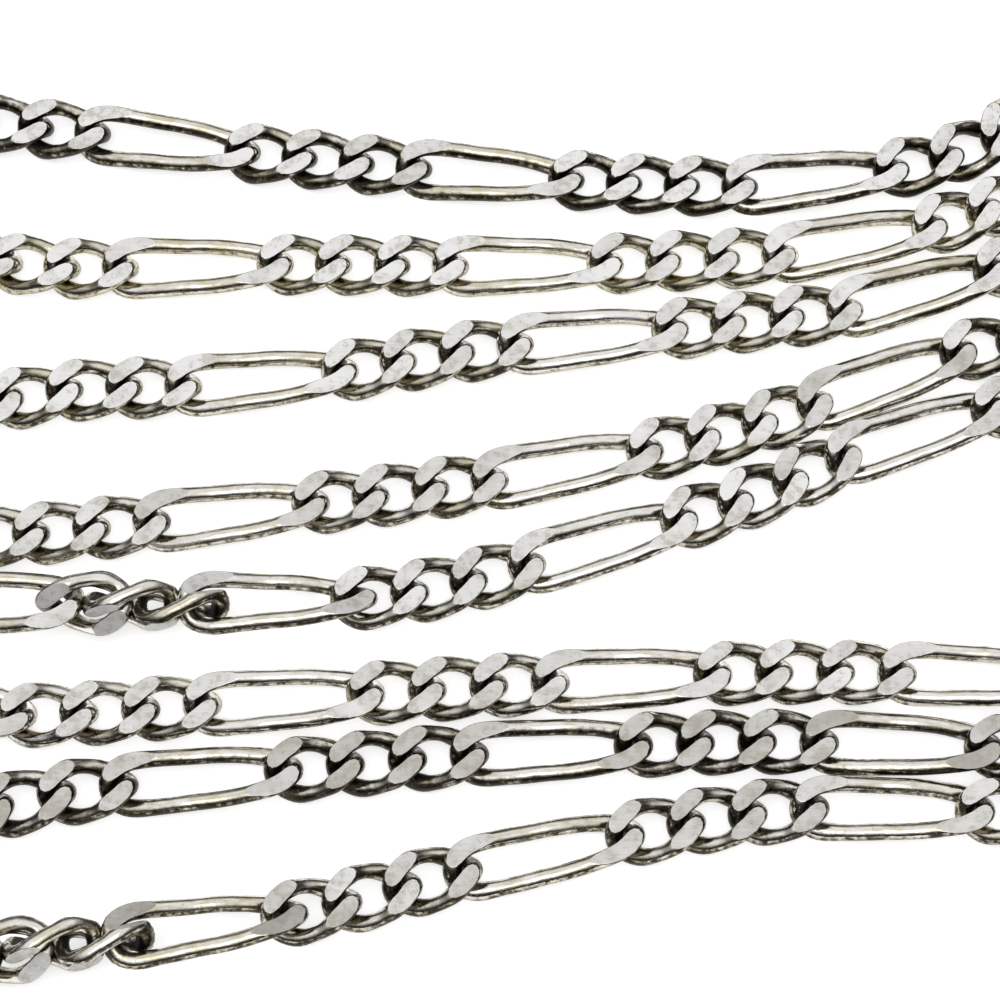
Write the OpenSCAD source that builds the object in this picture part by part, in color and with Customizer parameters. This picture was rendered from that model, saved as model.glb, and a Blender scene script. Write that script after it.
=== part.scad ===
// Figaro chain: a fastened necklace laid on a flat surface in eight passes.
// Three short links and one long link repeat. Each link is a loop of round wire, twisted
// about its long axis so that the chain lies flat, and ground flat above and below.
// Millimetres, +Z up, the surface at z = 0.

/* [Wire] */
// Diameter of the round wire of the links
wire_d = 0.86; // [0.82:0.01:0.9]

/* [Links] */
// Length of a short link between the wire centres of its ends
short_len = 4.1; // [4.06:0.02:4.2]
// Length of a long link between the wire centres of its ends
long_len = 9.2; // [9:0.1:9.4]
// Width of a link between the wire centres of its bars
link_w = 2.5; // [2.46:0.02:2.56]
// Twist of a link at its ends, in degrees
twist = 52; // [50:1:54]
// How early the twist of a short link sets in, 1 is even
short_ease = 0.8; // [0.7:0.05:0.9]
// How early the twist of a long link sets in, 1 is even
long_ease = 0.9; // [0.8:0.05:1]
// Thickness of the chain across its ground faces
chain_t = 1.4; // [1.36:0.02:1.5]

/* [Chain] */
// Play between neighbouring links along the chain
joint_play = 0.14; // [0.12:0.01:0.16]
// Further play for each degree that a link is rolled against its neighbour
roll_play = 0.016; // [0.014:0.001:0.018]
// Short links between two long ones
short_run = 3; // [3:1:3]
// Long links in the whole necklace
long_count = 46; // [46:1:46]
// Half the width of the passes, where every link is a piece of its own
pass_half = 26; // [25:0.5:27]

/* [Turns] */
// Gap between a turn's plain band and the link next to it
turn_gap = 0.35; // [0.25:0.05:0.5]

/* [Clasp] */
// Thickness of the clasp's ring
clasp_t = 1.2; // [1:0.05:1.3]
// Diameter of the clasp's eye between wire centres
eye_d = 2.0; // [1.9:0.05:2.2]
// Thickness of the eye's wire
eye_t = 0.7; // [0.6:0.05:0.75]
// Diameter of a jump ring between wire centres
jump_d = 3.4; // [3.35:0.05:3.5]
// Thickness of a jump ring's wire
jump_t = 0.7; // [0.6:0.05:0.75]
// Lean of a jump ring from lying flat, in degrees
jump_lean = 45; // [40:1:50]
// Play between the clasp, the jump rings and the end links
clasp_play = 0.2; // [0.15:0.05:0.3]

/* [Hidden] */

// Stops of the route: across, away, and the roll of the links about the chain, in degrees.
// It starts beside the clasp, at the far right, and ends at the clasp's other side.
// The passes are counted from the far one to the near one.
ROUTE = [
    // From the clasp into the third pass, which runs left
    [45.8, 3.1, 0], [44.8, 8.4, 0], [42, 12.4, 0], [37.2, 14.3, 0], [32.0, 14.6, 0],
    [26.5, 13.5, 0], [19.3, 11.2, 0], [13, 10.3, 0], [0, 8.8, 0], [-13, 6.7, 0], [-24, 6.1, 0],
    // Left turn into the second pass, which runs right
    [-30.5, 4.2, 0], [-37, 2.1, 0], [-42.3, 4.4, 0], [-44.6, 9.8, 0], [-42.3, 15.2, 0],
    [-37, 17.4, 0], [-30.5, 14.9, 0],
    [-24, 13.5, 0], [-13, 13.7, 0], [0, 13.6, 0], [13, 14.1, 0], [19.5, 14.9, 0], [26.5, 17.2, 0],
    // Right turn into the first pass, which runs left
    [34.0, 19.2, 0], [40.4, 20.0, 0], [45.2, 23.7, 0], [45.2, 29.9, 0], [40, 34.0, 0],
    [33.6, 31.6, 0], [31, 25.6, 0],
    [26.5, 21.3, 0], [20, 19.2, 0], [13, 18.4, 0], [0, 19.1, 0], [-13, 20.4, 0], [-24, 21.9, 0],
    // Left turn into the fourth pass, which runs right
    [-35, 22.6, 0], [-46, 19.9, 0], [-52.5, 13.4, 0], [-53.1, 7.0, 0], [-47.8, 0.2, 0],
    [-36, -2.3, 0],
    [-24, -1.9, 0], [-13, -0.6, 0], [0, 1.2, 0], [13, 4.2, 0], [19, 6.6, 0], [26.5, 9.2, 0],
    // Right turn into the seventh pass, which runs left
    [32.6, 9.6, 0], [37.0, 6.6, 0], [38.9, 0.6, 0], [38.9, -4, 0], [37, -10.2, 0], [31.6, -13.1, 0],
    [24, -13.5, 0], [13, -13.2, 0], [0, -13.8, 0], [-13, -15.0, 0], [-24, -16.4, 0],
    // Left turn into the sixth pass, which runs right
    [-30, -19.2, 0], [-36.2, -23.1, 0], [-41.8, -20.8, 0], [-43.6, -16.5, 0], [-41.8, -12.2, 0],
    [-36.2, -9.9, 0], [-30, -11.4, 0],
    [-23, -11.8, 0], [-13, -11.1, 0], [0, -10.2, 0], [13, -9.5, 0], [24, -9.6, 0],
    // Right turn into the fifth pass, which runs left and rolls over near its end
    [30.2, -9.7, 0], [33.2, -8.0, 0], [35.1, -5, 0], [35.3, 0.6, 0], [33.6, 4, 0], [30, 5.6, 0],
    [25, 5.1, 0], [19, 3.0, 0], [13, 0.2, 0], [0, -4.1, 0], [-2.8, -4.8, 7], [-5.9, -5.4, 29],
    [-11.3, -5.9, 48], [-16.7, -6.2, 70], [-19.4, -6.2, 100], [-22.2, -6.0, 130],
    [-27.6, -5.8, 150],
    // Left turn into the eighth pass, which runs right and rolls over at its start
    [-33, -6.0, 180], [-38, -6.3, 180], [-45.4, -9.6, 180], [-47.8, -16.5, 180],
    [-45.2, -23.2, 180], [-38, -27.2, 180], [-30, -25.6, 196],
    [-24.5, -24.4, 225], [-21.8, -24.1, 255], [-19.2, -23.8, 285], [-14.5, -23.1, 305],
    [-9.2, -22.0, 327], [-6, -21.2, 352], [-3, -20.4, 360], [13, -17.2, 360], [24, -17.1, 360],
    // Right turn to the clasp
    [32.4, -17.7, 360], [39.4, -15.8, 360], [44.0, -12.0, 360], [45.8, -7.5, 360]
];

// Sides of the wire, where its rings stand round a link's end in degrees from the tip,
// and how far apart the sections of a turn stand
wire_sides = 5;
end_rings = [-90, -35, 0, 35, 90];
turn_step = 4.8;
// Samples of the route between two stops, its length for one of links laid along it, and how
// far it runs on past the last stop, so that the chain's last joint always lies on it
route_steps = 10;
bend_share = 1.0053;
run_on = 4;
// Facets of the clasp and the jump rings
facets_round = 40;

link_count = long_count * (short_run + 1) + short_run;
function is_long(i) = i % (short_run + 1) == short_run;
function half_len(i) = (is_long(i) ? long_len : short_len) / 2;
// Distance between a link's two joints, each joint half the play inside the link's end
function reach(i) = 2 * half_len(i) - wire_d - joint_play;

// Centre line of a link in its own frame, both ends round and the bars straight
function half_loop(a, b, end) =
    [for (t = end_rings) [end * (a - b + b * cos(t)), end * b * sin(t)], [0, end * b]];
function twist_at(x, a, power) = -twist * sign(x) * pow(abs(x) / a, power);
function wire_centres(a, b, power) = [
    for (p = concat(half_loop(a, b, 1), half_loop(a, b, -1)))
        let (w = twist_at(p[0], a, power)) [p[0], p[1] * cos(w), p[1] * sin(w)]
];

// Corners of the wire round each centre, cut off at the ground faces
function ring_corners(c, before, after, a, power) =
    let (
        w = twist_at(c[0], a, power),
        t = (after - before) / norm(after - before),
        side = cross(t, [0, -sin(w), cos(w)]),
        s = side / norm(side),
        n = cross(s, t)
    )
    [
        for (k = [0 : wire_sides - 1])
            let (g = k * 360 / wire_sides, p = c + wire_d / 2 * (cos(g) * s + sin(g) * n))
            [p[0], p[1], max(-chain_t / 2, min(chain_t / 2, p[2]))]
    ];
function link_corners(length, power) =
    let (c = wire_centres(length / 2, link_w / 2, power), n = len(c))
    [
        for (k = [0 : n - 1])
            each ring_corners(c[k], c[(k + n - 1) % n], c[(k + 1) % n], length / 2, power)
    ];
short_corners = link_corners(short_len, short_ease);
long_corners = link_corners(long_len, long_ease);

// The route as a smooth curve through its stops
last_stop = len(ROUTE) - 1;
function flat(p) = [p[0], p[1]];
function span(i) = norm(flat(ROUTE[i + 1]) - flat(ROUTE[i]));
function heading(i) =
    let (a = max(i - 1, 0), b = min(i + 1, last_stop))
    (flat(ROUTE[b]) - flat(ROUTE[a])) / ((b > i ? span(i) : 0) + (a < i ? span(a) : 0));
function ease(t) = t * t * (3 - 2 * t);
function between(i, t) =
    let (h = span(i), u = 1 - t)
    (1 + 2 * t) * u * u * flat(ROUTE[i]) + t * u * u * h * heading(i)
    + ease(t) * flat(ROUTE[i + 1]) - t * t * u * h * heading(i + 1);
drawn = [
    for (i = [0 : last_stop - 1], k = [0 : route_steps - 1])
        let (t = k / route_steps, p = between(i, t))
        [p[0], p[1], ROUTE[i][2] * (1 - t) + ROUTE[i + 1][2] * t],
    ROUTE[last_stop],
    ROUTE[last_stop] + run_on * [heading(last_stop)[0], heading(last_stop)[1], 0]
];
drawn_up = [
    for (k = 0, s = 0; k < len(drawn);
         s = s + (k + 1 < len(drawn) ? norm(flat(drawn[k + 1]) - flat(drawn[k])) : 0), k = k + 1) s
];
// The whole route grows or shrinks with the chain, whose links cut its bends a little short
links_length = (link_count - long_count) * reach(0) + long_count * reach(short_run)
    - roll_play * (ROUTE[last_stop][2] - ROUTE[0][2]);
stretch = links_length * bend_share / (drawn_up[len(drawn_up) - 1] - run_on);
samples = [0 : len(drawn) - 1];
trail = [for (k = samples) [drawn[k][0] * stretch, drawn[k][1] * stretch, drawn[k][2]]];
run_up = [for (k = samples) drawn_up[k] * stretch];
across_at = [for (k = samples) [run_up[k], trail[k][0]]];
away_at = [for (k = samples) [run_up[k], trail[k][1]]];
roll_table = [for (k = samples) [run_up[k], trail[k][2]]];
function roll_at(s) = lookup(s, roll_table);

// Height of the chain's middle when links rolled by an angle rest on the surface
function rest_height(corners, r) = -min([for (p = corners) p[1] * sin(r) + p[2] * cos(r)]);
rise_table = [
    for (r = [0 : 5 : 180]) [r, max(rest_height(short_corners, r), rest_height(long_corners, r))]
];
// Both ends climb to the jump rings over their last link
jump_rise = jump_d / 2 * sin(jump_lean) + jump_t / 2;
function climb(s) =
    let (from_end = min(s, run_up[len(run_up) - 1] - run_on * stretch - s))
    (jump_rise - chain_t / 2) * min(1, max(0, 1 - from_end / reach(0)));
function at(s) = [
    lookup(s, across_at), lookup(s, away_at), lookup(roll_at(s) % 180, rise_table) + climb(s)
];

// Joints are spaced so that a link's straight length fits between them, less when it is rolled
function straight_step(s, r) =
    let (g = r * r / norm(at(s + r) - at(s))) g * r / norm(at(s + g) - at(s));
function next_joint(s, r) = s + straight_step(s, r - roll_play * (roll_at(s + r) - roll_at(s)));
joints = [
    for (i = 0, s = 0; i <= link_count; s = i < link_count ? next_joint(s, reach(i)) : s, i = i + 1) s
];

// Frame of a link: its middle, then its directions along, across and up
function turned(across, up, a) = [across * cos(a) + up * sin(a), up * cos(a) - across * sin(a)];
function frame(i) =
    let (
        p = at(joints[i]),
        q = at(joints[i + 1]),
        x = (q - p) / norm(q - p),
        flat_y = [-x[1], x[0], 0] / norm([x[0], x[1]]),
        yz = turned(flat_y, cross(x, flat_y), roll_at((joints[i] + joints[i + 1]) / 2))
    )
    [(p + q) / 2, x, yz[0], yz[1]];
function placed(p, f) = f[0] + p[0] * f[1] + p[1] * f[2] + p[2] * f[3];
// A link is lifted where its lowest corner would reach below the surface
function place(i) =
    let (
        f = frame(i),
        low = min([for (p = is_long(i) ? long_corners : short_corners) placed(p, f)[2]])
    )
    [f[0] + [0, 0, max(0, -low)], f[1], f[2], f[3]];

// Links in the passes, and the two beside the clasp, are pieces of their own
function is_single(i) =
    abs((at(joints[i])[0] + at(joints[i + 1])[0]) / 2) <= pass_half
    || i == 0 || i == link_count - 1;
single_links = [for (i = [0 : link_count - 1]) if (is_single(i)) i];
first_hidden = [for (i = [1 : link_count - 1]) if (is_single(i - 1) && !is_single(i)) i];
last_hidden = [for (i = [0 : link_count - 2]) if (!is_single(i) && is_single(i + 1)) i];

link_rings = 2 * (len(end_rings) + 1);
function link_faces(first) = [
    for (k = [0 : link_rings - 1], j = [0 : wire_sides - 1])
        let (
            i = (j + 1) % wire_sides,
            a = first + k * wire_sides,
            b = first + (k + 1) % link_rings * wire_sides
        )
        each [[a + j, b + i, b + j], [a + j, a + i, b + i]]
];

// A turn is a plain flat band of the chain's width and thickness along the route
band_section = [
    for (c = [
        [1, 1, 0], [1, 1, 1], [-1, 1, 1], [-1, 1, 0],
        [-1, -1, 0], [-1, -1, 1], [1, -1, 1], [1, -1, 0]
    ])
        [c[0] * ((link_w + wire_d) / 2 - c[2] * chain_t / 4), c[1] * chain_t / (4 - 2 * c[2])]
];
// The next link's end reaches past the joint by its wire and half the play
turn_end = wire_d + joint_play / 2 + turn_gap;
function turn_points(k) =
    let (
        start = joints[first_hidden[k]] + turn_end,
        stop = joints[last_hidden[k] + 1] - turn_end,
        count = ceil((stop - start) / turn_step)
    )
    [
        for (j = [0 : count])
            let (
                s = start + (stop - start) * j / count,
                p = at(s),
                ahead = flat(at(s + 0.2)) - flat(at(s - 0.2)),
                d = ahead / norm(ahead)
            )
            for (c = band_section) [p[0] - d[1] * c[0], p[1] + d[0] * c[0], chain_t / 2 + c[1]]
    ];
turns = [for (k = [0 : len(first_hidden) - 1]) turn_points(k)];

// The clasp lies between the chain's two ends, on the line from its last joint to its first
end_joint = flat(at(joints[link_count]));
start_joint = flat(at(joints[0]));
clasp_line = start_joint - end_joint;
clasp_turn = atan2(clasp_line[1], clasp_line[0]);
// The clasp's ring, between wire centres, takes up the rest of the distance
clasp_d = norm(clasp_line) - jump_d * 2 + jump_t * 2 + 3 * clasp_play - eye_d
    + (eye_t + clasp_t) / 2;
// It leans until its lower edge rests on the surface
clasp_lean = asin((2 * jump_rise - clasp_t) / clasp_d);
// From a joint to the middle of its jump ring
joint_to_jump = (jump_d - jump_t - clasp_play) / 2;
// From the middle of a jump ring to the middle of the eye, and to that of the clasp's ring
jump_to_eye = (jump_d - jump_t) / 2 - clasp_play + (eye_d - eye_t) / 2;
jump_to_ring = (jump_d - jump_t) / 2 - clasp_play + (clasp_d - clasp_t) / 2;
eye_to_ring = (eye_d + clasp_d) / 2;
first_ring_x = joint_to_jump;
eye_x = first_ring_x + jump_to_eye;
ring_x = eye_x + eye_to_ring;
second_ring_x = ring_x + jump_to_ring;

// The model is moved so that its bounding box stands in the middle of the surface
clasp_middle = end_joint + clasp_line / norm(clasp_line) * ring_x;
clasp_half = (clasp_d + clasp_t) / 2;
edges = [
    for (t = turns) each t,
    [clasp_middle[0] + clasp_half, clasp_middle[1], 0]
];
function middle(i) = (max([for (p = edges) p[i]]) + min([for (p = edges) p[i]])) / 2;
box_middle = [middle(0), middle(1), 0];

module links(chosen, corners) {
    step = len(corners);
    translate(-box_middle) polyhedron(
        points = [for (i = chosen) let (f = place(i)) for (p = corners) placed(p, f)],
        faces = [for (k = [0 : len(chosen) - 1]) each link_faces(k * step)],
        convexity = 10
    );
}

module short_links() {
    color("gainsboro") links([for (i = single_links) if (!is_long(i)) i], short_corners);
}

module long_links() {
    color("silver") links([for (i = single_links) if (is_long(i)) i], long_corners);
}

module turn(k) {
    sides = len(band_section);
    count = len(turns[k - 1]) / sides - 1;
    color("darkgray") translate(-box_middle) polyhedron(
        points = turns[k - 1],
        faces = [
            [for (c = [0 : sides - 1]) c],
            [for (c = [sides - 1 : -1 : 0]) count * sides + c],
            for (j = [0 : count - 1], c = [0 : sides - 1])
                let (a = j * sides + c, b = j * sides + (c + 1) % sides)
                each [[a, b + sides, b], [a, a + sides, b + sides]]
        ],
        convexity = 6
    );
}

module wire_ring(mean_d, thick) {
    rotate_extrude($fn = facets_round) translate([mean_d / 2, 0]) circle(d = thick, $fn = 16);
}

// A ring whose middle is on the clasp line, leaning about that line
module leaning_ring(x, lean, mean_d, thick) {
    translate([end_joint[0], end_joint[1], jump_rise] - box_middle) rotate(clasp_turn)
        translate([x, 0, 0]) rotate([lean, 0, 0]) wire_ring(mean_d, thick);
}

module clasp() {
    color("silver") {
        leaning_ring(eye_x, -jump_lean, eye_d, eye_t);
        leaning_ring(ring_x, clasp_lean, clasp_d, clasp_t);
    }
}

module clasp_jump_ring() {
    color("gainsboro") leaning_ring(first_ring_x, jump_lean, jump_d, jump_t);
}

module end_jump_ring() {
    color("gainsboro") leaning_ring(second_ring_x, -jump_lean, jump_d, jump_t);
}

short_links();
long_links();
clasp();
clasp_jump_ring();
end_jump_ring();
turn(1);  // turn_1
turn(2);  // turn_2
turn(3);  // turn_3
turn(4);  // turn_4
turn(5);  // turn_5
turn(6);  // turn_6
turn(7);  // turn_7
turn(8);  // turn_8
turn(9);  // turn_9
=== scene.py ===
"""Figaro chain: a fastened silver neck chain, laid on a pale surface in eight passes.

Every link of the loop is modelled: three short links and one long link repeat. They follow
the solids' route, apart from small shifts in some hidden turns.
"""

import logging
import math
from dataclasses import dataclass, field
from enum import Enum
from itertools import groupby
from typing import Any, Iterable, Sequence, Union

import bmesh
import bpy
import numpy as np
from mathutils import Matrix, Vector


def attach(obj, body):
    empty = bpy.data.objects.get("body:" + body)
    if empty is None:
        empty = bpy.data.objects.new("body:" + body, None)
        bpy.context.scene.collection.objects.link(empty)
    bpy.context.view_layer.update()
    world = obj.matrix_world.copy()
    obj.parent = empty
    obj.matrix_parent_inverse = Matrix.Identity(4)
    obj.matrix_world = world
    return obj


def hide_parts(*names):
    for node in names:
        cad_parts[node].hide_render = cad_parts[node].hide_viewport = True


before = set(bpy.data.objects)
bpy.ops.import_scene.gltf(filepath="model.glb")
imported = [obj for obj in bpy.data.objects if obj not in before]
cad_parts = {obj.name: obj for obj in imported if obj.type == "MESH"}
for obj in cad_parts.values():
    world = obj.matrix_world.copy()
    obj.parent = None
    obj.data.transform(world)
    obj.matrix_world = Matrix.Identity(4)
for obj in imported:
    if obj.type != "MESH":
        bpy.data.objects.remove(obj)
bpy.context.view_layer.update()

LOG = logging.getLogger("figaro_chain")
MM = 0.001
# Degrees of roll after which a link lies as before
HALF_TURN = 180.0
# Middle of the route's box, which the solids are centred on, in millimetres
BOX_MIDDLE = (-3.05979, 3.2824)


class Kind(Enum):
    """The two kinds of link in the pattern."""

    SHORT = "short"
    LONG = "long"


# ---- camera


@dataclass(frozen=True)
class Viewpoint:
    """The camera that sees the chain as the photograph does.

    Attributes:
        lean: angle of the line of sight from straight down, in radians.
        distance: from the camera to the middle of the passes, in millimetres.
        height: of the point looked at, above the surface, in millimetres.
        pixels_per_mm: scale of the photograph at the middle of the passes.
        picture_wide: width of the photograph, in pixels.
        sensor: width of the sensor, in millimetres.
        clip: nearest and farthest distance seen, in metres.
    """

    lean: float = 0.42
    distance: float = 185.0
    height: float = 0.8
    pixels_per_mm: float = 19.43
    picture_wide: float = 1000.0
    sensor: float = 36.0
    clip: tuple[float, float] = (0.01, 10.0)

    def build(self) -> None:
        """Add the camera and make it the scene's own."""
        data = bpy.data.cameras.new("camera")
        data.sensor_width = self.sensor
        data.lens = self.sensor * self.pixels_per_mm * self.distance / self.picture_wide
        data.clip_start, data.clip_end = self.clip
        camera = bpy.data.objects.new("camera", data)
        bpy.context.scene.collection.objects.link(camera)
        back = Vector((0.0, -math.sin(self.lean), math.cos(self.lean)))
        middle = Vector((-BOX_MIDDLE[0], -BOX_MIDDLE[1], self.height))
        camera.location = (middle + back * self.distance) * MM
        camera.rotation_mode = "QUATERNION"
        camera.rotation_quaternion = (-back).to_track_quat("-Z", "Y")
        bpy.context.scene.camera = camera


# ---- the route


@dataclass(frozen=True)
class LinkSize:
    """Sizes of one kind of link, in millimetres.

    Attributes:
        length: between the wire centres of its ends, as in the solids.
        half_length: half of the finished link between its wire centres.
        half_width: the same across it.
        end_reach: how far a rounded end reaches along the link.
        fullness: 2 makes the ends elliptical, more makes them squarer.
        twist: at the ends, in degrees.
        ease: 1 for an even twist, more for one that sets in nearer to the ends.
        rings: rings of vertices round the loop.
        end_wire: thickness of the wire at the ends and shoulders.
        bar_wire: the same in the middle of the bars.
        swell_from: share of the half length where the wire starts to swell.
        tip_from, tip_reach: the same where the grime and painted shade of the joints set in, and in
            which they get to their most.
    """

    length: float
    half_length: float
    half_width: float
    end_reach: float
    fullness: float
    twist: float
    ease: float
    rings: int
    end_wire: float
    bar_wire: float
    swell_from: float
    tip_from: float
    tip_reach: float


SHORT_LINK = LinkSize(
    length=4.1,
    half_length=2.08,
    half_width=1.28,
    end_reach=2.08,
    fullness=2.35,
    twist=56.0,
    ease=1.12,
    rings=46,
    end_wire=0.94,
    bar_wire=0.76,
    swell_from=0.08,
    tip_from=0.35,
    tip_reach=0.6,
)
LONG_LINK = LinkSize(
    length=9.2,
    half_length=4.63,
    half_width=1.2,
    end_reach=1.4,
    fullness=2.3,
    twist=50.0,
    ease=1.55,
    rings=64,
    end_wire=0.96,
    bar_wire=0.84,
    swell_from=0.45,
    tip_from=1 - 1.7 / 4.63,
    tip_reach=1.4 / 4.63,
)


@dataclass(frozen=True)
class ChainSize:
    """Sizes of the chain, in millimetres and degrees, as the solids have them.

    Attributes:
        wire: thickness of the solids' wire, which sets where links join.
        play: play between two links.
        roll_play: how much closer two links lie for each degree of roll between them.
        long_count: number of long links.
        short_run: number of short links between two long ones.
        bend_share: length of the route for each length of chain, as bends cut corners.
        run_on: how far the route goes on past its last stop.
        pass_half: half the length of the passes in which the solids have single links.
        jump_d, jump_t, jump_lean: outer width, wire and lean of a jump ring.
        short, long: sizes of a short and of a long link, which are finer than the solids'.
    """

    wire: float = 0.86
    play: float = 0.14
    roll_play: float = 0.016
    long_count: int = 46
    short_run: int = 3
    bend_share: float = 1.0053
    run_on: float = 4.0
    pass_half: float = 26.0
    jump_d: float = 3.4
    jump_t: float = 0.7
    jump_lean: float = 45.0
    short: LinkSize = SHORT_LINK
    long: LinkSize = LONG_LINK

    @property
    def count(self) -> int:
        """Number of links in the whole chain."""
        return self.long_count * (self.short_run + 1) + self.short_run

    @property
    def jump_rise(self) -> float:
        """Height of the middle of a jump ring, which leans with its edge on the surface."""
        return self.jump_d / 2 * math.sin(math.radians(self.jump_lean)) + self.jump_t / 2

    def kind(self, index: int) -> Kind:
        """Kind of the link at a place in the chain."""
        return Kind.LONG if index % (self.short_run + 1) == self.short_run else Kind.SHORT

    def size(self, kind: Kind) -> LinkSize:
        """Sizes of a kind of link."""
        return self.long if kind is Kind.LONG else self.short

    def reach(self, index: int) -> float:
        """Distance between a link's two joints."""
        return self.size(self.kind(index)).length - self.wire - self.play


# Stops of the route: across, away, and roll in degrees where it changes. They are the solids'
# stops, but some hidden turns are a little shifted, and the two kinks roll over in less length.
ROUTE: tuple[tuple[float, ...], ...] = (
    (45.8, 3.1), (44.8, 8.4), (42, 12.4), (37.2, 14.3), (32.0, 14.6), (26.5, 13.5), (19.3, 11.2),
    (13, 10.3), (0, 8.8), (-13, 6.7), (-24, 6.1), (-30.5, 4.2), (-37, 2.1), (-42.3, 4.4),
    (-44.6, 9.8), (-42.3, 15.2), (-37, 17.4), (-30.5, 14.9),
    (-24, 13.5), (-13, 13.7), (0, 13.6), (13, 14.1), (19.5, 14.9), (26.5, 17.2), (34.0, 19.2),
    (40.4, 20.0), (44.85, 23.7), (44.85, 29.9), (40, 34.0), (33.6, 31.6), (31, 25.6),
    (26.5, 21.3), (20, 19.2), (13, 18.4), (0, 19.1), (-13, 20.4), (-24, 21.9), (-35, 22.6),
    (-46, 19.9), (-52.6, 13.4), (-53.25, 7.0), (-47.8, 0.2), (-36, -2.3),
    (-24, -1.9), (-13, -0.6), (0, 1.2), (13, 4.2), (19, 6.6), (26.5, 9.2), (32.6, 9.6), (36.8, 6.4),
    (38.9, 0.6), (38.9, -4), (36.8, -10.0), (31.6, -13.1),
    (24, -13.5), (13, -13.2), (0, -13.8), (-13, -15.0), (-24, -16.4), (-30, -19.2), (-36.2, -23.1),
    (-41.9, -20.8), (-43.95, -16.5), (-41.9, -12.2), (-36.2, -9.9), (-30, -11.4),
    (-23, -11.8), (-13, -11.1), (0, -10.2), (13, -9.5), (24, -9.6), (30.2, -9.7), (33.2, -8.0),
    (35.1, -5), (35.3, 0.6), (33.6, 4), (30, 5.6), (25, 5.1), (19, 3.0), (13, 0.2), (0, -4.1),
    (-2.8, -4.8), (-5.9, -5.4, 3), (-11.3, -5.9, 14), (-16.7, -6.2, 64), (-19.4, -6.2, 108),
    (-22.2, -6.0, 150), (-27.6, -5.8, 174),
    (-33, -6.0, 180), (-38, -6.3), (-45.4, -9.6), (-47.62, -16.5), (-45.2, -23.2), (-38, -27.2),
    (-30, -25.6, 186),
    (-24.5, -24.4, 216), (-21.8, -24.1, 258), (-19.2, -23.8, 300), (-14.5, -23.1, 345),
    (-9.2, -22.0, 356), (-6, -21.2, 360), (-3, -20.25), (13, -16.9), (24, -16.8), (32.4, -17.7),
    (39.4, -15.8), (44.25, -12.2), (45.8, -7.5),
)


@dataclass(frozen=True)
class Tone:
    """Looks of the links of one pass, with its halves of the turns.

    Attributes:
        links: how many they are.
        dark, warm: how dark and warm their tarnish is, from 0 to 1.
        grey: how grey their ground faces are, from 0 to 1.
    """

    links: int
    dark: float
    warm: float
    grey: float


# The passes in the chain's own order. Counted from the far one they are 3, 2, 1, 4, 7, 6, 5, 8.
TONES: tuple[Tone, ...] = (
    Tone(25, 0.44, 0.60, 0.21),
    Tone(22, 0.26, 0.85, 0.15),
    Tone(26, 0.82, 0.40, 0.21),
    Tone(25, 0.52, 0.50, 0.38),
    Tone(22, 0.80, 0.30, 0.80),
    Tone(20, 0.46, 0.50, 0.50),
    Tone(22, 0.56, 0.45, 0.29),
    Tone(25, 0.60, 0.45, 0.57),
)


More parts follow.
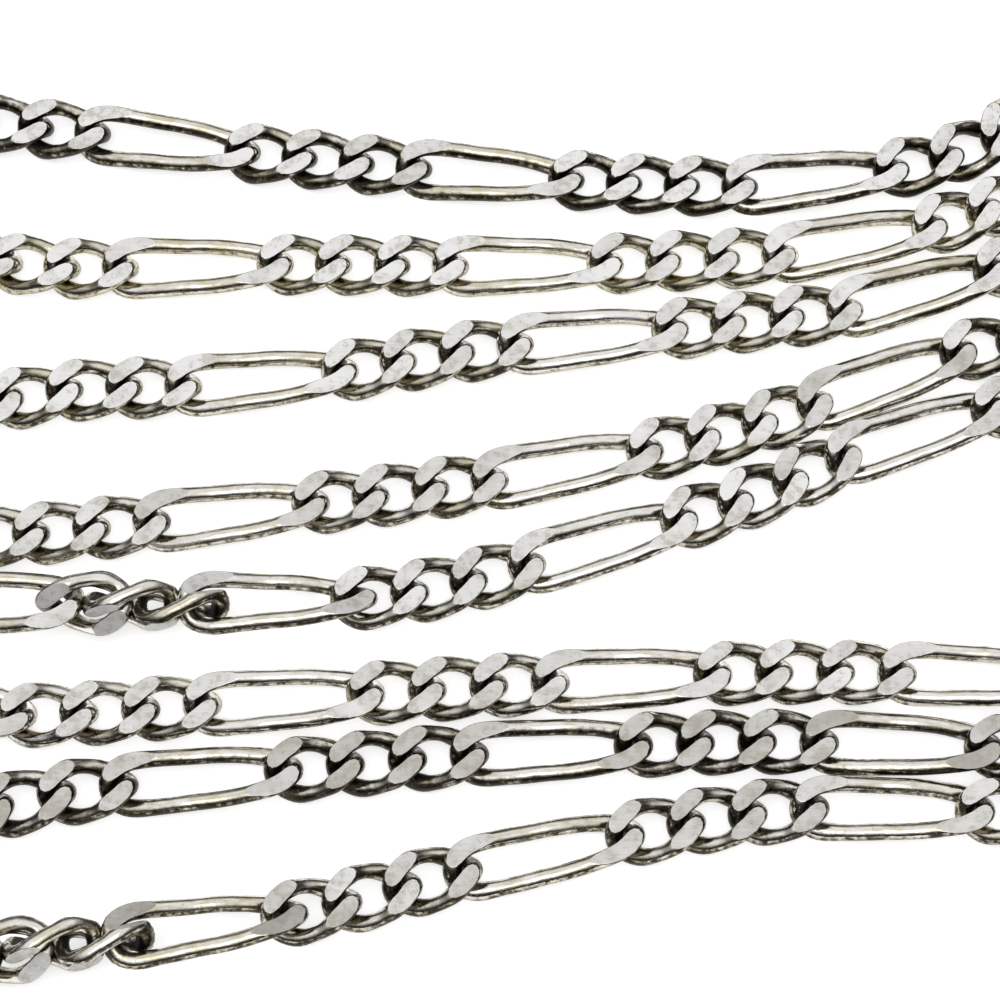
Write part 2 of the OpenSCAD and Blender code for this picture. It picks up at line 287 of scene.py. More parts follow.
@dataclass
class Route:
    """The smooth line that the chain follows, and the joints of its links along it.

    Attributes:
        chain: the sizes of the chain.
        steps: straight steps between two stops.
        roll_step: step of roll between the known heights of rolled links, in degrees.
    """

    chain: ChainSize
    steps: int = 10
    roll_step: float = 5.0

    def __post_init__(self) -> None:
        """Lay the route out and stretch it to the length of the chain."""
        chain, stops = self.chain, np.zeros((len(ROUTE), 3))
        for i, stop in enumerate(ROUTE):
            stops[i] = (*stop, stops[i - 1, 2])[:3]
        flat = stops[:, :2]
        spans = np.linalg.norm(np.diff(flat, axis=0), axis=1)
        headings = np.empty_like(flat)
        last = len(flat) - 1
        for i in range(len(flat)):
            a, b = max(i - 1, 0), min(i + 1, last)
            headings[i] = (flat[b] - flat[a]) / spans[a:b].sum()
        points = []
        for i in range(last):
            for k in range(self.steps):
                t = k / self.steps
                u = 1 - t
                place = (
                    (1 + 2 * t) * u * u * flat[i]
                    + t * u * u * spans[i] * headings[i]
                    + t * t * (3 - 2 * t) * flat[i + 1]
                    - t * t * u * spans[i] * headings[i + 1]
                )
                points.append((*place, stops[i, 2] * u + stops[i + 1, 2] * t))
        points.append(tuple(stops[last]))
        points.append((*(flat[last] + chain.run_on * headings[last]), stops[last, 2]))
        self.trail = np.array(points)
        along = np.linalg.norm(np.diff(self.trail[:, :2], axis=0), axis=1)
        self.run = np.concatenate([[0.0], np.cumsum(along)])
        links = (
            (chain.count - chain.long_count) * chain.reach(0)
            + chain.long_count * chain.reach(chain.short_run)
            - chain.roll_play * (stops[-1, 2] - stops[0, 2])
        )
        stretch = links * chain.bend_share / (self.run[-1] - chain.run_on)
        self.trail[:, :2] *= stretch
        self.run *= stretch
        self.last_stop = self.run[-1] - chain.run_on * stretch
        self.rise_rolls = np.arange(0.0, HALF_TURN + 1, self.roll_step)
        self.rises = np.zeros(len(self.rise_rolls))

    def set_rises(self, patterns: Iterable["LinkPattern"]) -> None:
        """Work out how high rolled links lie.

        Args:
            patterns: the kinds of link, with their modelled corners.
        """
        for k, roll in enumerate(np.radians(self.rise_rolls)):
            lows = [
                (p.corners[:, 1] * math.sin(roll) + p.corners[:, 2] * math.cos(roll)).min()
                for p in patterns
            ]
            self.rises[k] = -min(lows)

    def roll(self, s: float) -> float:
        """Roll of the chain at a distance along the route, in degrees."""
        return float(np.interp(s, self.run, self.trail[:, 2]))

    def at(self, s: float) -> np.ndarray:
        """Place of the chain's middle line.

        Args:
            s: distance along the route.

        Returns:
            The point, in millimetres.
        """
        from_end = min(s, self.last_stop - s)
        share = min(1.0, max(0.0, 1 - from_end / self.chain.reach(0)))
        climb = (self.chain.jump_rise - self.rises[0]) * share
        rise = float(np.interp(self.roll(s) % HALF_TURN, self.rise_rolls, self.rises))
        x, y = (np.interp(s, self.run, self.trail[:, k]) for k in (0, 1))
        return np.array([x, y, rise + climb])

    def joints(self) -> np.ndarray:
        """Distances along the route at which the links join.

        Returns:
            One more distance than there are links.
        """
        found = [0.0]
        for i in range(self.chain.count):
            s, r = found[-1], self.chain.reach(i)
            r -= self.chain.roll_play * (self.roll(s + r) - self.roll(s))
            here = self.at(s)
            guess = r * r / np.linalg.norm(self.at(s + r) - here)
            found.append(s + guess * r / np.linalg.norm(self.at(s + guess) - here))
        return np.array(found)


# ---- one link


def read(items: Any, name: str, width: int = 1, kind: type = float) -> np.ndarray:
    """Read a value of every item in one of a mesh's lists.

    Args:
        items: the list.
        name: the value's name.
        width: how many numbers each value has.
        kind: their type.

    Returns:
        The values, in rows where they have more than one number.
    """
    values = np.empty(len(items) * width, dtype=kind)
    items.foreach_get(name, values)
    return values.reshape(-1, width) if width > 1 else values


def write_mark(mesh: bpy.types.Mesh, name: str, values: np.ndarray, domain: str = "POINT") -> None:
    """Give a mesh a named number for every corner (POINT) or face (FACE)."""
    layer = mesh.attributes.new(name, "FLOAT", domain)
    layer.data.foreach_set("value", values.astype(np.float32))


# Radius of the plain ring that a link is formed from, in millimetres
PLAIN_RING = 2.0
# Share of the loop on each side of a point that its direction is read from
NEARBY = 0.002
TINY = 1e-9
CUT_THRESHOLD = 0.00001
# Random angles are drawn up to this, in radians
ANY_ANGLE = 6.28
# Added to a link's seed for the random lean of its ground face
GRIND_SEED = 50
# A face with more corners than this is a ground face, the wire's own have four at most
MOST_CORNERS = 8


@dataclass
class LinkPattern:
    """One kind of link, modelled once and copied along the chain.

    Attributes:
        chain: the sizes of the chain.
        kind: short or long.
        seed: sets the small differences between links of a kind.
        half_thick: from the link's middle to its ground faces.
        sides: sides of the wire.
        edge: width of the worn edge round a ground face.
        swell_reach: share of the half length in which the wire swells.
        dense_end, dense_share: where and how much closer the rings stand together.
        line_points: points that the centre line is worked out on.
        wave_counts: waves round the loop that make the wire uneven.
        wave_share, skew_share: how much straight and winding waves change its thickness.
        grind_lean: how far the upper ground face leans at random.
        weld: corners closer than this are joined after the cuts.
        flat_play: how far a ground face's corners lie from its height at most.
        corners, loops, face_sizes: the finished link's mesh.
        ground: 1 for a ground face, 0 for the others.
        marks: what the tarnish and the painted shade go by, at each corner.
    """

    chain: ChainSize
    kind: Kind
    seed: int = 0
    half_thick: float = 0.74
    sides: int = 14
    edge: float = 0.03
    swell_reach: float = 0.42
    dense_end: float = 2.6
    dense_share: float = 1.5
    line_points: int = 2881
    wave_counts: tuple[int, ...] = (2, 3, 5, 8)
    wave_share: float = 0.007
    skew_share: float = 0.004
    grind_lean: float = 0.012
    weld: float = 0.004
    flat_play: float = 0.07
    corners: np.ndarray = field(init=False)
    loops: np.ndarray = field(init=False)
    face_sizes: np.ndarray = field(init=False)
    ground: np.ndarray = field(init=False)
    marks: dict[str, np.ndarray] = field(default_factory=dict)

    # Directions that the surface faces, towards the link's middle, and places on the wire
    mark_names = ("out_x", "out_y", "up", "inward", "tip", "along", "round")

    @property
    def size(self) -> LinkSize:
        """Sizes of this kind of link."""
        return self.chain.size(self.kind)

    def build(self) -> None:
        """Model the link by operators and keep its corners, faces and marks."""
        obj = self._ring()
        self._form(obj)
        self._grind(obj)
        self._keep(obj)
        mesh = obj.data
        bpy.data.objects.remove(obj)
        bpy.data.meshes.remove(mesh)

    def _ring(self) -> bpy.types.Object:
        """Add a plain ring of round wire, which is then formed into the link.

        Returns:
            The ring, in millimetres.
        """
        bpy.ops.object.select_all(action="DESELECT")
        bpy.ops.mesh.primitive_torus_add(
            major_segments=self.size.rings,
            minor_segments=self.sides,
            major_radius=PLAIN_RING,
            minor_radius=self.size.end_wire / 2,
        )
        return bpy.context.object

    def _centre_line(self, turn: np.ndarray) -> np.ndarray:
        """Centre line of the twisted wire.

        Args:
            turn: how far round the loop each point is, from 0 to 1.

        Returns:
            The points, in millimetres.
        """
        size = self.size
        t = np.linspace(0, 2 * math.pi, self.line_points)
        power = 2 / size.fullness
        c, s = np.cos(t), np.sin(t)
        straight = (size.half_length - size.end_reach) * (np.abs(c) > TINY)
        x = np.sign(c) * (np.abs(c) ** power * size.end_reach + straight)
        y = np.sign(s) * np.abs(s) ** power * size.half_width
        step = np.hypot(np.diff(x), np.diff(y))
        # The rings stand closer together round the ends than along the bars
        near_end = np.abs(x[:-1]) > size.half_length - self.dense_end
        step *= np.where(near_end, self.dense_share, 1.0)
        so_far = np.concatenate([[0.0], np.cumsum(step)])
        x = np.interp(turn * so_far[-1], so_far, x)
        y = np.interp(turn * so_far[-1], so_far, y)
        share = np.minimum(np.abs(x) / size.half_length, 1.0)
        angle = -math.radians(size.twist) * np.sign(x) * share**size.ease
        return np.stack([x, y * np.cos(angle), y * np.sin(angle)], 1)

    def _form(self, obj: bpy.types.Object) -> None:
        """Form the ring into the twisted link and give the wire its marks.

        Args:
            obj: the plain ring.
        """
        size = self.size
        points = read(obj.data.vertices, "co", 3)
        ring = np.arctan2(points[:, 1], points[:, 0])
        off = np.hypot(points[:, 0], points[:, 1]) - PLAIN_RING
        side = np.arctan2(points[:, 2], off)
        turn = (ring / (2 * math.pi)) % 1.0
        centre = self._centre_line(turn)
        ahead = self._centre_line((turn + NEARBY) % 1.0)
        tangent = ahead - self._centre_line((turn - NEARBY) % 1.0)
        tangent /= np.linalg.norm(tangent, axis=1)[:, None]
        level = np.cross(tangent, [0.0, 0.0, 1.0])
        level /= np.linalg.norm(level, axis=1)[:, None]
        rising = np.cross(level, tangent)
        rng = np.random.default_rng(self.seed)
        reached = np.abs(centre[:, 0]) / size.half_length
        share = np.clip((reached - size.swell_from) / self.swell_reach, 0.0, 1.0)
        swell = share * share * (3 - 2 * share)
        radius = (size.bar_wire + (size.end_wire - size.bar_wire) * swell) / 2
        for waves in self.wave_counts:
            for spread, winding in ((self.wave_share, 0.0), (self.skew_share, 2 * side)):
                depth = rng.normal(0, spread)
                radius *= 1 + depth * np.sin(waves * ring + winding + rng.uniform(0, ANY_ANGLE))
        facing = level * np.cos(side)[:, None] + rising * np.sin(side)[:, None]
        formed = centre + facing * radius[:, None]
        obj.data.vertices.foreach_set("co", formed.ravel())
        into_end = np.maximum(np.abs(centre[:, 0]) - (size.half_length - size.end_reach), 0)
        to_middle = np.stack([-np.sign(centre[:, 0]) * into_end, -centre[:, 1], -centre[:, 2]], 1)
        to_middle /= np.linalg.norm(to_middle, axis=1)[:, None]
        marks = (
            *facing.T,
            (facing * to_middle).sum(1),
            np.clip((reached - size.tip_from) / size.tip_reach, 0.0, 1.0),
            np.abs(np.sin(ring / 2)) * size.half_length * 2,
            side * size.end_wire / 2,
        )
        for name, values in zip(self.mark_names, marks):
            write_mark(obj.data, name, values)
        obj.data.update()

    def _grind(self, obj: bpy.types.Object) -> None:
        """Cut the flat ground faces above and below, and wear their edges a little.

        Args:
            obj: the twisted link.
        """
        rng = np.random.default_rng(self.seed + GRIND_SEED)
        bpy.ops.object.mode_set(mode="EDIT")
        for side in (1.0, -1.0):
            lean = rng.normal(0, self.grind_lean, 2) if side > 0 else (0.0, 0.0)
            bpy.ops.mesh.select_all(action="SELECT")
            bpy.ops.mesh.bisect(
                plane_co=(0, 0, side * self.half_thick),
                plane_no=(lean[0], lean[1], side),
                use_fill=True,
                clear_outer=True,
                threshold=CUT_THRESHOLD,
            )
        bpy.ops.mesh.select_all(action="SELECT")
        bpy.ops.mesh.remove_doubles(threshold=self.weld)
        bpy.ops.mesh.select_all(action="DESELECT")
        work = bmesh.from_edit_mesh(obj.data)
        for face in work.faces:
            heights = [abs(corner.co.z) for corner in face.verts]
            flat = all(abs(height - self.half_thick) < self.flat_play for height in heights)
            if flat and len(heights) > MOST_CORNERS:
                for edge in face.edges:
                    edge.select_set(True)
        bmesh.update_edit_mesh(obj.data)
        bpy.ops.mesh.bevel(offset=self.edge, segments=1, affect="EDGES", clamp_overlap=True)
        bpy.ops.mesh.select_all(action="SELECT")
        bpy.ops.mesh.normals_make_consistent(inside=False)
        bpy.ops.object.mode_set(mode="OBJECT")

    def _keep(self, obj: bpy.types.Object) -> None:
        """Keep the link's mesh as arrays.

        Args:
            obj: the finished link.
        """
        mesh = obj.data
        self.corners = read(mesh.vertices, "co", 3)
        self.loops = read(mesh.loops, "vertex_index", kind=int)
        self.face_sizes = read(mesh.polygons, "loop_total", kind=int)
        self.ground = (self.face_sizes > MOST_CORNERS).astype(float)
        for name in self.mark_names:
            self.marks[name] = read(mesh.attributes[name].data, "value", kind=np.float32)
        LOG.info("%s link %d: %d faces", self.kind.value, self.seed, len(mesh.polygons))


# ---- node maths

Number = Union[float, int, "Wire"]


@dataclass(frozen=True)
class Wire:
    """A node's output socket that can be used in Python expressions."""

    shader: "Shader"
    socket: bpy.types.NodeSocket

    def _math(self, operation: str, *values: Number) -> "Wire":
        """Add a Math node on some values."""
        return self.shader.node("ShaderNodeMath", {"operation": operation}, dict(enumerate(values)))

    def __add__(self, other: Number) -> "Wire":
        """Sum."""
        return self._math("ADD", self, other)

    __radd__ = __add__

    def __sub__(self, other: Number) -> "Wire":
        """Difference."""
        return self._math("SUBTRACT", self, other)

    def __rsub__(self, other: Number) -> "Wire":
        """Difference, with this value taken away."""
        return self._math("SUBTRACT", other, self)

    def __mul__(self, other: Number) -> "Wire":
        """Product."""
        return self._math("MULTIPLY", self, other)

    __rmul__ = __mul__

    def __abs__(self) -> "Wire":
        """Size without sign."""
        return self._math("ABSOLUTE", self)

    def highest(self, other: Number) -> "Wire":
        """Larger of two values."""
        return self._math("MAXIMUM", self, other)

    def between(self, low: float, high: float) -> "Wire":
        """Smooth step from 0 at the low value to 1 at the high one."""
        settings = {"interpolation_type": "SMOOTHSTEP", "clamp": True}
        values = {"Value": self, "From Min": low, "From Max": high}
        return self.shader.node("ShaderNodeMapRange", settings, values)


Settings = dict[str, Any]
Inputs = dict[Union[str, int], Any]
Span = tuple[float, float]
Triple = tuple[float, float, float]
Colour = Triple


class Shader:
    """Node tree of a material or of the surroundings, with one method that adds any node."""

    def __init__(self, owner: Union[bpy.types.Material, bpy.types.World]) -> None:
        """Start an empty tree.

        Args:
            owner: the material or the world that has it.
        """
        self.owner = owner
        owner.use_nodes = True
        self.tree = owner.node_tree
        self.tree.nodes.clear()

    def node(
        self, kind: str, settings: Settings, inputs: Inputs, output: Union[str, int] = 0
    ) -> Wire:
        """Add a node.

        Args:
            kind: the node's type.
            settings: its settings, which are set first.
            inputs: values or wires of its sockets, by name or number.
            output: the output that is wanted.

        Returns:
            The chosen output.
        """
        made = self.tree.nodes.new(kind)
        for name, value in settings.items():
            setattr(made, name, value)
        for name, value in inputs.items():
            socket = made.inputs[name]
            if isinstance(value, Wire):
                self.tree.links.new(value.socket, socket)
            else:
                socket.default_value = value
        return Wire(self, made.outputs[output])

    def millimetres(self) -> Wire:
        """Object coordinates in millimetres."""
        place = self.node("ShaderNodeTexCoord", {}, {}, "Object")
        values = {"Vector": place, "Scale": 1 / MM}
        return self.node("ShaderNodeVectorMath", {"operation": "SCALE"}, values)

    def attribute(self, name: str) -> Wire:
        """Value of one of the mesh's own attributes."""
        return self.node("ShaderNodeAttribute", {"attribute_name": name}, {}, "Fac")

    def colours(self, factor: Number, first: Any, second: Any) -> Wire:
        """Mix two colours or wires, by the second one's share."""
        ready = [c if isinstance(c, Wire) else (*c, 1.0) for c in (first, second)]
        values = {0: factor, 6: ready[0], 7: ready[1]}
        return self.node("ShaderNodeMix", {"data_type": "RGBA", "clamp_factor": True}, values, 2)

    def noise(self, vector: Wire, scale: float, detail: float = 2.0, rough: float = 0.5) -> Wire:
        """Noise of about 0.5, by place, frequency, octaves and their weight."""
        values = {"Vector": vector, "Scale": scale, "Detail": detail, "Roughness": rough}
        return self.node("ShaderNodeTexNoise", {}, values)

    def bump(self, height: Wire, strength: float, distance: float) -> Wire:
        """Relief, by its height, its strength and its depth in metres."""
        values = {"Strength": strength, "Distance": distance, "Height": height}
        return self.node("ShaderNodeBump", {}, values)

    def finish(self, inputs: Inputs) -> bpy.types.Material:
        """End the material in a Principled shader, by its values and wires."""
        self.end("ShaderNodeOutputMaterial", self.node("ShaderNodeBsdfPrincipled", {}, inputs))
        return self.owner

    def end(self, kind: str, surface: Wire) -> None:
        """End the tree in an output node."""
        self.tree.links.new(surface.socket, self.tree.nodes.new(kind).inputs["Surface"])


# ---- finishes


@dataclass(frozen=True)
class WornSilver:
    """Ground and worn silver: tarnished sides, grime and painted shade in recesses, painted shade
    below.

    Fields that end in _at are the two values between which a mark comes in.

    Attributes:
        name: the material's name.
        bright, yellowed: colours of the clean and of the most aged wire.
        ground, greyed, stained: the cleanest and greyest ground faces, and their stains.
        brown, olive: thin tarnish on the sides of a cold and of a warm link, also painted on the
            undersides as shade.
        deep: near-black of the grime, pits and flecks, and of the painted shade in the recesses and
            on the undersides.
        grain: frequency of the blotches, the ragged, the fine and the drawn-out pattern.
        drawn: scale of the drawn-out one along and round the wire, and from link to link.
        scratch_turn: direction of the grinding marks, in radians.
        scratch_scale: their frequency.
        bump_height: depth of the relief, in metres.
    """

    name: str = "worn_silver"
    bright: Colour = (0.86, 0.845, 0.81)
    yellowed: Colour = (0.60, 0.54, 0.38)
    ground: Colour = (0.90, 0.895, 0.875)
    greyed: Colour = (0.50, 0.485, 0.44)
    stained: Colour = (0.42, 0.37, 0.28)
    brown: Colour = (0.26, 0.19, 0.105)
    olive: Colour = (0.34, 0.305, 0.165)
    deep: Colour = (0.016, 0.012, 0.007)
    grain: tuple[float, float, float, float] = (0.75, 3.0, 11.0, 3.6)
    drawn: Triple = (0.4, 1.5, 40.0)
    scratch_turn: float = 0.5
    scratch_scale: Triple = (1.2, 9.0, 1.0)
    sides_at: Span = (0.28, 0.70)
    nest_at: Span = (-0.35, 0.55)
    recess_at: Span = (0.46, 0.80)
    patch_at: Span = (0.60, 1.05)
    pits_at: Span = (0.64, 0.70)
    pitted_at: Span = (0.52, 0.62)
    aged_at: Span = (0.18, 0.85)
    stain_at: Span = (0.60, 0.74)
    painted_shade_under_at: Span = (0.0, 0.45)
    flecks_at: Span = (0.60, 0.68)
    fleck_sides_at: Span = (0.25, 0.5)
    bump_height: float = 0.00004

    def build(self) -> bpy.types.Material:
        """Make the material.

        Returns:
            The material.
        """
        s = Shader(bpy.data.materials.new(self.name))
        names = ("up", "inward", "tip", "skyward", "ground", "dark", "warm", "grey", "rolled")
        up, inward, tip, skyward, ground, dark, warm, grey, rolled = map(s.attribute, names)
        free = 1 - ground
        blotch, ragged, fine, streak, scratches = self._patterns(s)
        uneven = (ragged - 0.5) * 0.34 + (streak - 0.5) * 0.26

        # The sides of the wire keep their tarnish and its tops are rubbed bright; the tops are the
        # link's own upper and lower sides and, as painted light, whatever faces up in the world
        side = 1 - abs(up).highest(skyward)
        sides = side + uneven * 1.5 + (dark - 0.5) * 0.5
        sides = sides.between(*self.sides_at) * free
        # Near-black where a neighbour sits inside a link's end: grime in the joint, and painted
        # shade there
        nest = tip * inward.between(*self.nest_at)
        recess = (nest + uneven + (blotch - 0.5) * 0.5).between(*self.recess_at) * free
        # Blotches of grime, a little stronger on the link's lower side as painted shade
        patch = blotch * 0.9 + (ragged - 0.5) * 1.2 + dark * 0.7 - up * 0.2
        patch = patch.between(*self.patch_at)
        pits = fine.between(*self.pits_at) * ragged.between(*self.pitted_at)
        pits = pits * (0.2 + 0.7 * dark) * (1 - ground * 0.5)
        # Painted shade: what faces down in the world gets the tarnish film and some near-black, so
        # that it doesn't mirror the bright floor
        painted_shade_under = (0.3 - skyward).between(*self.painted_shade_under_at) * free
        flecks = (streak + (fine - 0.5) * 0.7).between(*self.flecks_at)
        flecks = flecks * side.between(*self.fleck_sides_at) * free

        aged = blotch * 0.8 + (streak - 0.5) * 1.0 + (warm - 0.5) * 0.6 + (dark - 0.5) * 0.5
        aged = aged.between(*self.aged_at)
        metal = s.colours(aged * 0.95, self.bright, self.yellowed)
        tone = grey + (blotch - 0.5) * 0.9 + (scratches - 0.5) * 0.5
        stain = ragged * 0.6 + fine * 0.25 + blotch * 0.3 + dark * 0.06
        face = s.colours(tone, self.ground, self.greyed)
        face = s.colours(stain.between(*self.stain_at) * 0.42, face, self.stained)
        film = s.colours(warm, self.brown, self.olive)
        # Near-black: grime in patches on the sides, and painted shade on the undersides
        soil_and_under_shade = (sides * patch * 0.95).highest(painted_shade_under * (dark - 0.3 + patch * 0.3))
        colour = s.colours(ground, metal, face)
        # Tarnish film on the sides of the wire, and the same film painted on the undersides as
        # shade
        colour = s.colours((sides * (0.5 + 0.4 * patch)).highest(painted_shade_under * 0.9), colour, film)
        # Near-black over the grime and the painted shade of the sides, undersides and recesses, and
        # over the pits and flecks
        for share in (soil_and_under_shade, recess * 0.94, pits * 0.8, flecks * 0.85):
            colour = s.colours(share, colour, self.deep)

        # Duller and less metallic where the grime, the pits and the painted shade lie
        grime_and_shade = recess.highest(pits).highest(soil_and_under_shade * 0.5)
        # A ground face that leans far is dull, or it would mirror the dark horizon
        dulled = ground * (0.13 + 0.35 * rolled)
        height = (streak - 0.5) * 0.5 + (ragged - 0.5) * 0.45 + (fine - 0.5) * 0.08
        height = height * (1 - ground * 0.75) + (scratches - 0.5) * ground * 0.12 - pits * 0.5
        looks = {
            "Base Color": colour,
            "Metallic": 1 - grime_and_shade * 0.15 - ground * rolled * 0.8,
            "Roughness": 0.15 + dulled + aged * 0.06 + grime_and_shade * 0.22 + (fine - 0.5) * 0.08,
            "Normal": s.bump(height, 0.5, self.bump_height),
        }
        return s.finish(looks)

    def _patterns(self, s: Shader) -> tuple[Wire, ...]:
        """Noise that the marks go by.

        Args:
            s: the shader.

        Returns:
            The blotches, the ragged, fine and drawn-out patterns, and the grinding marks.
        """
        mm = s.millimetres()
        marks = ("along", "round", "seed")
        places = {k: s.attribute(name) * self.drawn[k] for k, name in enumerate(marks)}
        drawn = s.node("ShaderNodeCombineXYZ", {}, places)
        turn = (0.0, 0.0, self.scratch_turn)
        mapping = {"Vector": mm, "Rotation": turn, "Scale": self.scratch_scale}
        turned = s.node("ShaderNodeMapping", {}, mapping)
        return (
            s.noise(mm, self.grain[0]),
            s.noise(mm, self.grain[1], 3.0, 0.6),
            s.noise(mm, self.grain[2]),
            s.noise(drawn, self.grain[3]),
            s.noise(turned, 1.0),
        )


@dataclass(frozen=True)
class PlainSilver:
    """Plain silver wire of the clasp and the jump rings, lightly tarnished.

    Attributes:
        name: the material's name.
        bright, tarnish, pit: colours of the clean wire, its tarnish and its pits.
        grain: frequency of the blotches and of the fine pattern.
        mask_at, pits_at: values between which tarnish and pits come in.
        bump_height: depth of the relief, in metres.
    """

    name: str = "plain_silver"
    bright: Colour = (0.78, 0.765, 0.74)
    tarnish: Colour = (0.13, 0.11, 0.085)
    pit: Colour = (0.03, 0.025, 0.02)
    grain: Span = (0.7, 6.0)
    mask_at: Span = (0.48, 0.72)
    pits_at: Span = (0.68, 0.76)
    bump_height: float = 0.00003

    def build(self) -> bpy.types.Material:
        """Make the material.

        Returns:
            The material.
        """
        s = Shader(bpy.data.materials.new(self.name))
        mm = s.millimetres()
        blotch, fine = (s.noise(mm, scale, 3.0, 0.6) for scale in self.grain)
        mask = (blotch + (fine - 0.5) * 0.35).between(*self.mask_at)
        pits = fine.between(*self.pits_at)
        colour = s.colours(mask * 0.55, self.bright, self.tarnish)
        looks = {
            "Base Color": s.colours(pits * 0.6, colour, self.pit),
            "Metallic": 1 - mask * 0.25,
            "Roughness": 0.24 + mask * 0.2 + pits * 0.2,
            "Normal": s.bump(blotch * 0.6 + fine * 0.3 - pits, 0.4, self.bump_height),
        }
        return s.finish(looks)


# ---- the chain


@dataclass
class Placed:
    """A link in its place.

    Attributes:
        index: its place in the chain.
        kind: short or long.
        pattern: its model.
        middle: its middle, in millimetres.
        axes: directions along, across and up.
        single: whether the solids have it as a link, not as part of a turn's band.
    """

    index: int
    kind: Kind
    pattern: LinkPattern
    middle: np.ndarray
    axes: np.ndarray
    single: bool


@dataclass
class Chain:
    """All the links of the loop.

    Attributes:
        size: its sizes.
        variants: slightly different models of each kind of link.
        seed: sets the random differences between the links.
        roll_spread: a link's random roll, in degrees.
        short_darker: how much darker short links are than long ones.
        spreads: random differences in how dark, warm and grey links are.
        roll_dulls: how fast ground faces get dull as a link rolls.
    """

    size: ChainSize
    variants: int = 3
    seed: int = 7
    roll_spread: float = 0.6
    short_darker: float = 0.2
    spreads: Triple = (0.07, 0.1, 0.13)
    roll_dulls: float = 2.0

    def __post_init__(self) -> None:
        """Lay the route out and set the models up."""
        self.route = Route(self.size)
        self.patterns = {
            kind: [LinkPattern(self.size, kind, seed) for seed in range(self.variants)]
            for kind in Kind
        }
        self.placed: list[Placed] = []
        self.rng = np.random.default_rng(self.seed)

    def build(self, finish: bpy.types.Material) -> None:
        """Model the links, lay them along the route and join them into pieces.

        Args:
            finish: the material of the links.
        """
        every = [pattern for kind in Kind for pattern in self.patterns[kind]]
        for pattern in every:
            pattern.build()
        self.route.set_rises(every)
        self._place()
        for kind, node in ((Kind.SHORT, "short_links"), (Kind.LONG, "long_links")):
            chosen = [link for link in self.placed if link.single and link.kind is kind]
            self._piece(f"{kind.value}_links_of_passes", chosen, node, finish)
        for number, chosen in enumerate(self._turns(), start=1):
            self._piece(f"links_of_turn_{number}", chosen, f"turn_{number}", finish)

    def _place(self) -> None:
        """Work out where each link lies."""
        joints = self.route.joints()
        count = self.size.count
        middle = np.array([*BOX_MIDDLE, 0.0])
        for i in range(count):
            a, b = self.route.at(joints[i]), self.route.at(joints[i + 1])
            x = (b - a) / np.linalg.norm(b - a)
            y = np.array([-x[1], x[0], 0.0])
            y /= np.linalg.norm(y)
            up = np.cross(x, y)
            roll = math.radians(self.route.roll((joints[i] + joints[i + 1]) / 2))
            roll += math.radians(float(self.rng.normal(0, self.roll_spread)))
            c, s = math.cos(roll), math.sin(roll)
            axes = np.array([x, y * c + up * s, up * c - y * s])
            kind = self.size.kind(i)
            centre = (a + b) / 2
            pattern = self.patterns[kind][int(self.rng.integers(self.variants))]
            low = (pattern.corners @ axes)[:, 2].min() + centre[2]
            single = abs(centre[0]) <= self.size.pass_half or i in (0, count - 1)
            place = centre - middle + np.array([0, 0, max(0.0, -low)])
            self.placed.append(Placed(i, kind, pattern, place, axes, single))

    def _turns(self) -> list[list[Placed]]:
        """Links between the passes, in a list for each turn."""
        groups = groupby(self.placed, key=lambda link: link.single)
        return [list(links) for single, links in groups if not single]

    def _piece(self, name: str, links: list[Placed], node: str, finish: bpy.types.Material) -> None:
        """Join copies of the links into one piece.

        Args:
            name: the piece's name.
            links: the links that it holds.
            node: the node that it stands for.
            finish: its material.
        """
        mesh = self._mesh(name, links)
        mesh.materials.append(finish)
        piece = bpy.data.objects.new(name, mesh)
        bpy.context.scene.collection.objects.link(piece)
        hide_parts(node)
        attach(piece, "root")
        LOG.info("%s: %d links, %d faces", name, len(links), len(mesh.polygons))

    def _mesh(self, name: str, links: list[Placed]) -> bpy.types.Mesh:
        """Join copies of the links' models into one mesh.

        Args:
            name: the mesh's name.
            links: the links.

        Returns:
            The mesh, with its marks.
        """
        patterns = [link.pattern for link in links]
        counts = [len(pattern.corners) for pattern in patterns]
        firsts = np.concatenate([[0], np.cumsum(counts)[:-1]])
        corners = np.concatenate([k.middle + k.pattern.corners @ k.axes for k in links]) * MM
        loops = np.concatenate([p.loops + first for p, first in zip(patterns, firsts)])
        sizes = np.concatenate([pattern.face_sizes for pattern in patterns])
        ground = np.concatenate([pattern.ground for pattern in patterns])
        mesh = bpy.data.meshes.new(name)
        mesh.vertices.add(len(corners))
        mesh.vertices.foreach_set("co", corners.ravel())
        mesh.loops.add(len(loops))
        mesh.loops.foreach_set("vertex_index", loops)
        mesh.polygons.add(len(sizes))
        mesh.polygons.foreach_set("loop_start", np.concatenate([[0], np.cumsum(sizes)[:-1]]))
        mesh.polygons.foreach_set("loop_total", sizes)
        mesh.update(calc_edges=True)
        mesh.validate()
        marks = self._marks(links)
        for key in marks[0]:
            write_mark(mesh, key, np.concatenate([mark[key] for mark in marks]))
        write_mark(mesh, "ground", ground, "FACE")
        mesh.polygons.foreach_set("use_smooth", ground < 0.5)
        return mesh

    def _marks(self, links: list[Placed]) -> list[dict[str, np.ndarray]]:
        """What the tarnish and the painted shade go by, at each corner of each link.

        Args:
            links: the links.

        Returns:
            For each link, its marks by name.
        """
        every = []
        for link in links:
            own = link.pattern.marks
            marks = {key: own[key] for key in ("up", "inward", "tip", "along", "round")}
            outward = np.stack([own[key] for key in ("out_x", "out_y", "up")], 1)
            # How far each corner faces up in the world; the painted shade on the undersides and the
            # bright tops go by it
            marks["skyward"] = outward @ link.axes[:, 2]
            for key, value in self._tone(link).items():
                marks[key] = np.full(len(outward), value)
            every.append(marks)
        return every

